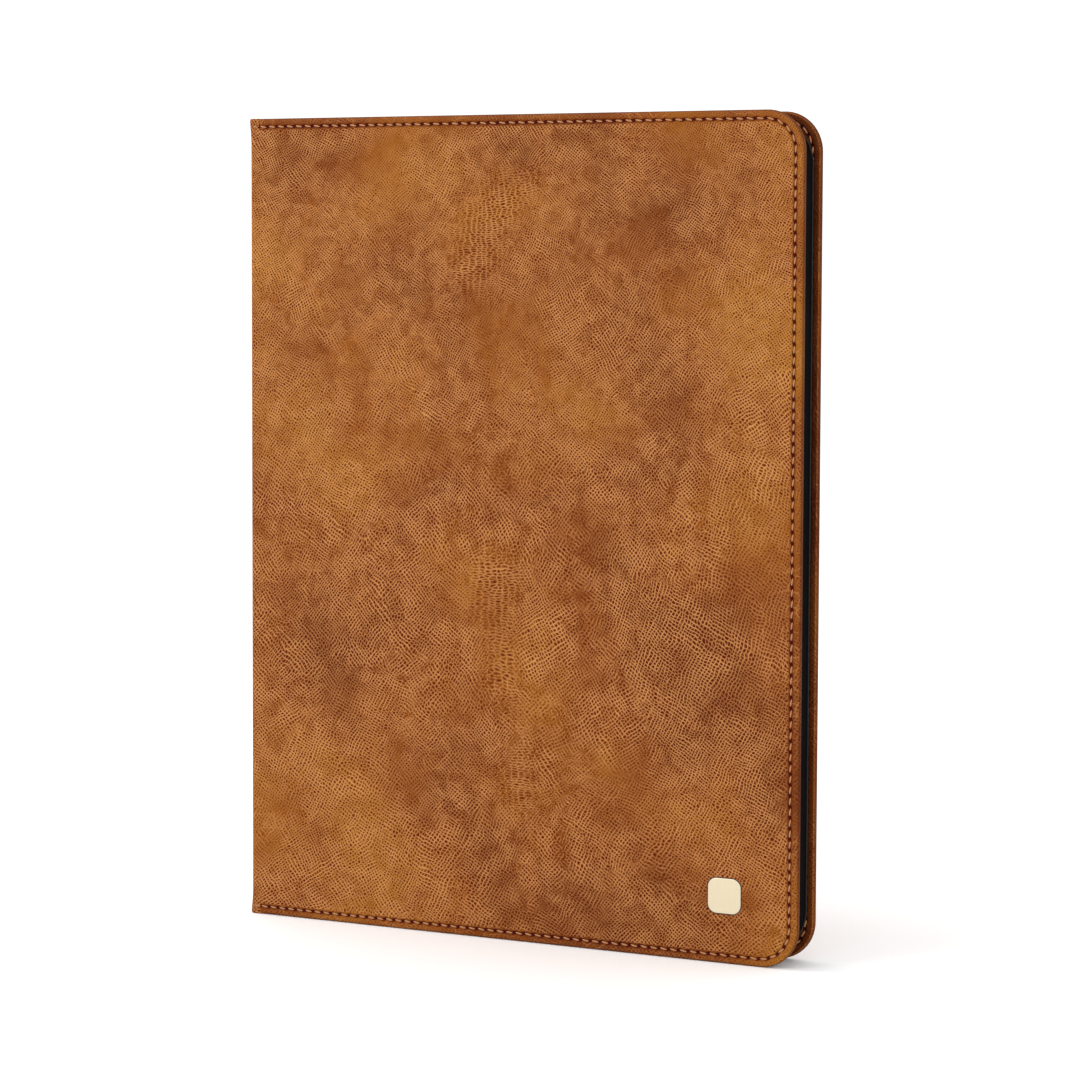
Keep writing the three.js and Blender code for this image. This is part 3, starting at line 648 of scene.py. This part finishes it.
class SeamPath:
    """Head, fore edge and tail of a cover, walked at even steps along the seam line."""

    def __init__(self):
        self.arm = X_FORE - CORNER_RADIUS - X_COVER
        self.side = HEIGHT - 2 * CORNER_RADIUS
        self.arc = (CORNER_RADIUS - SEAM_INSET) * math.pi / 2
        self.length = 2 * self.arm + 2 * self.arc + self.side
        stitches = 2 * round(self.length / PITCH / 2)
        self.steps = stitches * STATIONS_PER_STITCH
        self.step = self.length / self.steps

    def at(self, station, inset):
        """Point (x, z) at that inset from the outline, beside a place along the seam."""
        s = station * self.step
        half = self.length / 2
        low = s > half
        if low:
            s = self.length - s
        if s <= self.arm:
            x = X_COVER + s
            up = HEIGHT - inset
        elif s <= self.arm + self.arc:
            turn = (s - self.arm) / (CORNER_RADIUS - SEAM_INSET)
            reach = CORNER_RADIUS - inset
            x = X_FORE - CORNER_RADIUS + reach * math.sin(turn)
            up = HEIGHT - CORNER_RADIUS + reach * math.cos(turn)
        else:
            x = X_FORE - inset
            up = HEIGHT - CORNER_RADIUS - (s - self.arm - self.arc)
        return x, (HEIGHT - up if low else up)

    def side_start(self):
        """First station on the straight fore edge."""
        return math.ceil((self.arm + self.arc) / self.step)


path = SeamPath()


def unrolled(side, x):
    """How far round the book a point on the front (-1) or back (1) cover is, as one coordinate."""
    if side < 0:
        return x
    round_spine = Y_BACK - Y_FRONT + 2 * (math.pi / 2 - 2) * FOLD_RADIUS
    return 2 * X_SPINE - round_spine - x


def face_y(side, depth):
    """Y at a depth below the outer face of the front (-1) or back (1) cover."""
    return Y_FRONT + depth if side < 0 else Y_BACK - depth


def unroll_lengths(profile):
    """Length of leather from each point of the profile to its last one."""
    lengths = [0.0]
    for here, onward in zip(profile[-2::-1], profile[:0:-1]):
        lengths.insert(0, lengths[0] + math.dist(here, onward))
    return lengths


def grid_face(side, verts, flat, seam, rim):
    """Quads over a panel's outer face, gently undulating, and the points down its spine side.

    rim(station) is the vertex at a station on the face's edge. New points join the lists."""
    columns = path.side_start()
    rows = path.steps - 2 * columns
    table = []
    for c in range(columns + 1):
        top, low = rim(c), rim(path.steps - c)
        column = [top]
        for r in range(1, rows):
            if c == columns:
                column.append(rim(c + r))
                continue
            share = r / rows
            p = Vector(verts[top]).lerp(Vector(verts[low]), share)
            swell = noise.noise(Vector((p.x * UNDULATIONS, p.z * UNDULATIONS, side * 3.0)))
            fade = min(1.0, 8 * share, 8 * (1 - share), (columns - c) / 8)
            column.append(len(verts))
            verts.append((p.x, p.y + side * LEATHER_UNDULATION * swell * fade, p.z))
            flat.append((unrolled(side, p.x), p.z))
            seam.append(NO_SEAM)
        column.append(low)
        table.append(column)
    pairs = zip(table, table[1:])
    faces = [(a[r], a[r + 1], b[r + 1], b[r]) for a, b in pairs for r in range(rows)]
    return faces, table[0][1:-1]


def seam_rings(side, profile, seams):
    """The profile's points at every station, with their places on the hide and by the seam."""
    verts, flat, seam = [], [], []
    unroll = unroll_lengths(profile)
    last = profile[-1][0]
    for station in range(path.steps + 1):
        dip = HOLE_DIP if station % STATIONS_PER_STITCH == 0 else SEAM_DIP
        for i, (inset, depth) in enumerate(profile):
            x, z = path.at(station, inset)
            if i in seams:
                depth += dip if depth < COVER / 2 else -dip
            fx, fz = path.at(station, last - unroll[i])
            verts.append((x, face_y(side, depth), z))
            flat.append((unrolled(side, fx), fz))
            seam.append((station / STATIONS_PER_STITCH, (inset - SEAM_INSET) / MM))
    return verts, flat, seam


def u_solid(name, side, profile, seams, inner_count, grid):
    """Closed panel whose head, fore edge and tail follow a profile of (inset, depth) points.

    seams lists the profile's points on a stitch line. The first inner_count bands take the
    second material. grid fills the outer face with quads, otherwise it is one flat face."""
    verts, flat, seam = seam_rings(side, profile, seams)
    count = len(profile)
    faces, slots = [], []
    for station in range(path.steps):
        for i in range(count - 1):
            a = station * count + i
            faces.append((a, a + 1, a + count + 1, a + count))
            slots.append(1 if i < inner_count else 0)
    faces.append(tuple(s * count for s in range(path.steps + 1)))
    slots.append(1 if inner_count else 0)

    def rim(station):
        return station * count + count - 1

    if grid:
        quads, middle = grid_face(side, verts, flat, seam, rim)
    else:
        quads, middle = [tuple(rim(s) for s in range(path.steps + 1))], []
    head = list(range(count))
    tail = [rim(path.steps) - i for i in range(count)]
    faces += quads
    faces.append(tuple(head + middle + tail))
    slots += [0] * (len(quads) + 1)
    return make_object(name, verts, faces, flat, seam, slots)


def edge_roll():
    """Half round from the inner face over the edge to the outer face, as (inset, depth)."""
    steps = 12
    points = []
    for i in range(steps + 1):
        a = math.pi * i / steps
        inset = EDGE_ROLL * (1 - math.sin(a))
        points.append((inset, COVER / 2 + (COVER / 2 + EDGE_CROWN * (i / steps)) * math.cos(a)))
    return points


def cover_profile():
    """A cover's section from its lining over the edge, its points on the seam, and how many
    points are on the inner face."""
    s = SEAM_INSET
    ledge = COVER - LEDGE
    inner = [
        (TURN_IN, ledge),
        (TURN_IN, COVER - 0.15 * MM),
        (TURN_IN - 0.15 * MM, COVER),
        (s + 1.2 * MM, COVER),
        (s + 0.35 * MM, COVER),
        (s, COVER),
        (s - 0.35 * MM, COVER),
        (s - 0.9 * MM, COVER),
    ]
    outer = [
        (s - 0.9 * MM, -EDGE_CROWN),
        (s - 0.35 * MM, -EDGE_CROWN * 0.3),
        (s, 0),
        (s + 0.35 * MM, -EDGE_CROWN * 0.2),
        (s + 0.9 * MM, -EDGE_CROWN * 0.3),
        (s + 2.2 * MM, 0),
    ]
    profile = inner + edge_roll() + outer
    seams = [i for i, point in enumerate(profile) if point[0] == s]
    return profile, seams, len(inner)


def cover_skin(name, side, leather, inner_leather_painted_shade):
    profile, seams, inner_count = cover_profile()
    # The inner bands take the turned-in leather, darkened with painted shade
    obj = u_solid(name, side, profile, seams, inner_count + 2, grid=True)
    obj.data.materials.append(leather)
    obj.data.materials.append(inner_leather_painted_shade)
    return obj


def cover_lining(name, side, suede):
    gap = 0.12 * MM
    edge = TURN_IN + gap
    profile = [
        (edge, COVER - LEDGE),
        (edge, COVER - 0.2 * MM),
        (edge + 0.2 * MM, COVER + 0.02 * MM),
        (edge + 1.2 * MM, COVER + 0.06 * MM),
    ]
    obj = u_solid(name, side, profile, (), 0, grid=False)
    obj.data.materials.append(suede)
    return obj


def strip_heights(low, high, roll):
    """Levels up a strip: close together where its ends are rolled and flared."""
    reach = min(END_FLARE_REACH, (high - low) / 4)
    ends = [low + roll * v for v in (0, 0.12, 0.3, 0.55, 0.8, 1.0)]
    ends += [low + roll + reach * v for v in (0.2, 0.4, 0.6, 0.8, 1.0)]
    span = high - low - 2 * (roll + reach)
    rows = [ends[-1] + span * i / STRIP_ROWS for i in range(1, STRIP_ROWS)]
    return ends + rows + [low + high - z for z in ends[::-1]]


def bent_strip(name, outer, inner, low, high, start, roll, flare, material):
    """Strip of leather or lining up the book: outer and inner are matching (x, y) lines.

    Its ends are rolled by roll, and it flares away from the book towards head and tail."""
    heights = strip_heights(low, high, roll)
    verts, flat = [], []
    count = len(outer)
    for z in heights:
        end = min(z - low, high - z)
        share = min(1.0, end / roll)
        thick = math.sqrt(max(0.0, 1 - (1 - share) ** 2)) * 0.75 + 0.25
        bulge = flare * math.exp(-((end / END_FLARE_REACH * 1.6) ** 2))
        walked = start
        inside = []
        for i, (o, n) in enumerate(zip(outer, inner)):
            middle = Vector(((o[0] + n[0]) / 2, (o[1] + n[1]) / 2))
            a = middle.lerp(Vector(o), thick)
            b = middle.lerp(Vector(n), thick)
            push = bulge * max(0.0, 1 - (o[0] - X_SPINE) / FOLD_ZONE)
            verts.append((a.x - push, a.y, z))
            if i:
                walked -= (Vector(o) - Vector(outer[i - 1])).length
            flat.append((walked, z))
            inside.append((b.x - push * 0.6, b.y, z))
        verts += inside[::-1]
        flat += flat[-count:][::-1]
    faces = tube_faces(2 * count, len(heights))
    obj = make_object(name, verts, faces, flat, smooth_angle=55)
    obj.data.materials.append(material)
    return obj


def fold_line(side, offset, reach_x, reach_y, radius):
    """(x, y) line round a cover's fold, offset inwards from the outer face."""
    sign = 1 if side < 0 else -1
    base = face_y(side, 0)
    r = max(radius - offset, 0.15 * MM)
    cx, cy = X_SPINE + offset + r, offset + r
    points = [(X_SPINE + reach_x, offset), ((X_SPINE + reach_x + cx) / 2, offset)]
    arc_steps = 8
    for i in range(arc_steps + 1):
        a = math.pi / 2 * i / arc_steps
        points.append((cx - r * math.sin(a), cy - r * math.cos(a)))
    points.append((X_SPINE + offset, (cy + reach_y) / 2))
    points.append((X_SPINE + offset, reach_y))
    return [(x, base + sign * y) for x, y in points]


def inner_strips(name, outer, inner, start, leather, suede):
    """Suede lining of a strip of the spine, and the leather turned in over its two ends."""
    # leather here is the turned-in leather, darkened with painted shade
    turned = (
        ("tail", END_SETBACK, TURN_IN),
        ("head", HEIGHT - TURN_IN, HEIGHT - END_SETBACK),
    )
    strips = []
    for end, low, high in turned:
        strip = bent_strip(
            f"{name}_{end}_turn_in", outer, inner, low, high, start, STRIP_ROLL, 0, leather
        )
        strips.append(strip)
    lining = bent_strip(
        f"{name}_suede", outer, inner, lining_lo.z, lining_hi.z, start, STRIP_ROLL, 0, suede
    )
    return lining, strips


def fold_pieces(side, last_stitches, leather, inner_leather_painted_shade, suede):
    """Leather, lining and stitches curved round the fold between the spine and one cover."""
    word = "front" if side < 0 else "back"
    start = unrolled(side, X_COVER)

    def line(offset):
        return fold_line(side, offset, FOLD_ZONE, SPINE_EDGE, FOLD_RADIUS)

    skin = bent_strip(
        f"{word}_fold_leather",
        line(0),
        line(FOLD_LEATHER),
        front_lo.z,
        HEIGHT,
        start,
        END_ROLL,
        END_FLARE,
        leather,
    )
    under = FOLD_LEATHER + LAYER_GAP
    lining, turned = inner_strips(
        f"{word}_fold", line(under), line(under + FOLD_LINING), start, inner_leather_painted_shade, suede
    )
    near = Vector((X_COVER, face_y(side, 0), 0))
    far = Vector((X_SPINE, face_y(side, SPINE_EDGE), 0))
    for piece in (skin, lining, *turned, last_stitches):
        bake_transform(piece)


def spine_pieces(leather, inner_leather_painted_shade, suede):
    """Stiff middle of the spine: leather over its board, a lining, and turned-in ends."""
    y0, y1 = Y_FRONT + SPINE_EDGE, Y_BACK - SPINE_EDGE
    steps = 6
    ys = [y0 + (y1 - y0) * i / steps for i in range(steps + 1)]
    wrap = spine_board_hi.x
    start = unrolled(-1, X_COVER) - FOLD_ZONE - SPINE_EDGE + (2 - math.pi / 2) * FOLD_RADIUS
    skin = bent_strip(
        "spine_skin",
        [(X_SPINE, y) for y in ys],
        [(wrap, y) for y in ys],
        front_lo.z,
        HEIGHT,
        start,
        END_ROLL,
        END_FLARE,
        leather,
    )
    lining, turned = inner_strips(
        "spine",
        [(wrap + LAYER_GAP, y) for y in ys],
        [(spine_hi.x, y) for y in ys],
        start,
        inner_leather_painted_shade,
        suede,
    )
    for piece in (skin, lining, *turned):
        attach(piece, "spine")
    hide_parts("spine_leather")
    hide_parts("spine_lining")


def seam_spans():
    """From which hole to which each stitch of a seam runs, and the short ones on the folds."""
    count = path.steps // STATIONS_PER_STITCH
    row = [(k, k + 1) for k in range(count)]
    return row, [(-FOLD_STITCH, 0), (count, count + FOLD_STITCH)]


def stitch_ring(side, depth, span, t, wobble):
    """Points round the thread of one stitch, t of the way from its first hole to its second."""
    first, second = span
    station = (first + (second - first) * t) * STATIONS_PER_STITCH
    lean = STITCH_SLANT * (2 * t - 1) * (1 + 0.5 * wobble)
    x, z = path.at(station, SEAM_INSET + lean)
    x2, z2 = path.at(station, SEAM_INSET + lean + 1 * MM)
    nx, nz = (x2 - x) / MM, (z2 - z) / MM
    arch = math.sin(math.pi * t)
    rise = -STITCH_DIVE + STITCH_ARCH * arch ** 0.9 + 0.03 * MM * wobble
    thick = THREAD_RADIUS * (0.55 + 0.45 * arch ** 0.5)
    outward = -1 if depth < COVER / 2 else 1
    points = []
    for i in range(THREAD_SIDES):
        a = math.tau * i / THREAD_SIDES
        off = math.cos(a) * thick
        up = math.sin(a) * thick * 0.8 + rise
        points.append((x + nx * off, face_y(side, depth + outward * up), z + nz * off))
    return points


def stitches(name, side, depth, spans, material):
    """Slanting stitches, each diving into the holes at its ends."""
    verts, flat, faces = [], [], []
    for span in spans:
        wobble = noise.noise(Vector((span[0] * 1.7, side * 9.1, depth * 5000)))
        faces += tube_faces(THREAD_SIDES, STITCH_RINGS, len(verts))
        for r in range(STITCH_RINGS):
            t = 0.06 + 0.88 * r / (STITCH_RINGS - 1)
            verts += stitch_ring(side, depth, span, t, wobble)
            flat += [(t, i / THREAD_SIDES) for i in range(THREAD_SIDES)]
    obj = make_object(name, verts, faces, flat, smooth_angle=80)
    obj.data.materials.append(material)
    return obj


def foam_pad(name, low, high, material):
    """Thin foam pad with softly bulging sides, in the XZ plane."""
    layers = 10
    arcs = 16
    thickness = high.y - low.y
    verts, flat = [], []
    for j in range(layers + 1):
        share = j / layers
        bulge = BOND_BULGE * (4 * share * (1 - share) - 1)
        for x, z in rounded_ring(low, high, BOND_RADIUS, bulge, arcs):
            verts.append((x, low.y + thickness * share, z))
            flat.append((x, z))
    faces = tube_faces(4 * (arcs + 1), layers + 1)
    obj = make_object(name, verts, faces, flat)
    obj.data.materials.append(material)
    return obj


def badge_seat(material):
    """Dark ring round the recess edge that the plain plate sits in: a painted shadow."""
    arcs = 12
    section = [(0, 0.3), (0, -0.04), (0.5, -0.08), (1, -0.02), (1, 0.3)]
    verts, flat, faces = [], [], []
    for out, depth in section:
        for x, z in rounded_ring(badge_lo, badge_hi, BADGE_RADIUS, out * SEAT_WIDTH, arcs):
            verts.append((x, Y_FRONT + depth * MM, z))
            flat.append((x, z))
    ring = 4 * (arcs + 1)
    for j in range(len(section)):
        nxt = (j + 1) % len(section)
        for i in range(ring):
            k = (i + 1) % ring
            faces.append((j * ring + i, j * ring + k, nxt * ring + k, nxt * ring + i))
    obj = make_object("badge_seat", verts, faces, flat)
    obj.data.materials.append(material)
    return obj


# ---------------------------------------------------------------- assembly


def make_covers():
    leather = leather_material("tan_leather")
    # Turned-in leather: the tan leather darkened with painted shade for the shade between the
    # covers, and reddened
    inner_leather_painted_shade = leather_material("turned_leather_painted_shade", shade=TURNED_PAINTED_SHADE, red=TURNED_RED)
    suede = suede_material("brown_suede", SUEDE)
    thread = thread_material("thread", THREAD)
    for side, word, body in ((-1, "front", "front_cover"), (1, "back", "back_and_reader")):
        skin = cover_skin(f"{word}_skin", side, leather, inner_leather_painted_shade)
        lining = cover_lining(f"{word}_suede", side, suede)
        row, on_fold = seam_spans()
        outer = stitches(f"{word}_stitches_outer", side, 0.0, row, thread)
        inner = stitches(f"{word}_stitches_inner", side, COVER, row, thread)
        last = stitches(f"{word}_stitches_fold", side, 0.0, on_fold, thread)
        fold_pieces(side, last, leather, inner_leather_painted_shade, suede)
        for piece, slot, node in (
            (skin, "tan_leather", "leather"),
            (lining, "lining", "lining"),
            (outer, "thread", "needle_thread"),
            (inner, "thread", "bobbin_thread"),
        ):
            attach(piece, body)
            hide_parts(f"{word}_{node}")
    spine_pieces(leather, inner_leather_painted_shade, suede)
    # Painted shadow round the badge plate: a thin dark ring on the leather
    seat = badge_seat(plain_material("badge_painted_shadow", srgb(58, 28, 16), 0.6))
    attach(seat, "front_cover")


def make_bond():
    foam = plain_material("grey_foam", srgb(36, 34, 33), 0.85, grain=400, depth=0.05 * MM)
    pad = foam_pad("bond_pad", bond_lo, bond_hi, foam)
    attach(pad, "back_and_reader")
    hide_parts("tray_bond")


def frame_finishes():
    """Material of each CAD piece that is shown as it is; the steel ones are left to the caller."""
    board = plain_material("grey_board", srgb(176, 160, 132), 0.9, grain=300)
    black = plain_material(
        "black_moulding", srgb(11, 8, 8), 0.8, grain=90, depth=0.02 * MM, gloss=0.03
    )
    housing = plain_material("dark_housing", srgb(34, 35, 37), 0.5, grain=90, depth=0.02 * MM)
    copper = plain_material("polyimide", srgb(168, 98, 32), 0.3)
    circuit = plain_material("solder_mask", srgb(16, 62, 38), 0.35, grain=500)
    nickel = brushed_metal("nickel", (0.66, 0.65, 0.62), 0.25, (1, 1, 0.05))
    return {
        "front_board": board,
        "back_board": board,
        "spine_board": board,
        "tray": black,
        "usb_tongue": black,
        "hall_sensor": black,
        "rear_housing": housing,
        "power_button": housing,
        "bezel_mask": plain_material("bezel_ink", srgb(22, 22, 23), 0.5),
        "badge_plate": brushed_metal("champagne", (0.78, 0.69, 0.5), 0.42, (1, 1, 0.06)),
        "front_lens": glass_material(),
        "display_panel": screen_material(),
        "light_guide": plain_material("clear_guide", (0.8, 0.8, 0.78), 0.2),
        "led_strip": copper,
        "port_flex": copper,
        "mid_frame": brushed_metal("cast_alloy", (0.5, 0.51, 0.52), 0.45, (0.3, 1, 1)),
        "battery_pack": brushed_metal("foil", (0.6, 0.61, 0.62), 0.4, (1, 1, 0.1)),
        "battery_tape": plain_material("white_tape", srgb(228, 228, 222), 0.8),
        "mainboard": circuit,
        "port_board": circuit,
        "sleep_magnet": nickel,
        "closure_magnet_upper": nickel,
        "closure_magnet_lower": nickel,
    }


def paint_frame():
    finishes = frame_finishes()
    tin = brushed_metal("tinned_steel", (0.62, 0.62, 0.63), 0.35, (1, 0.1, 1))
    for name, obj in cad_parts.items():
        obj.data.materials.clear()
        obj.data.materials.append(finishes.get(name, tin))


make_camera()
make_light()
make_floor()
paint_frame()
make_covers()
make_bond()
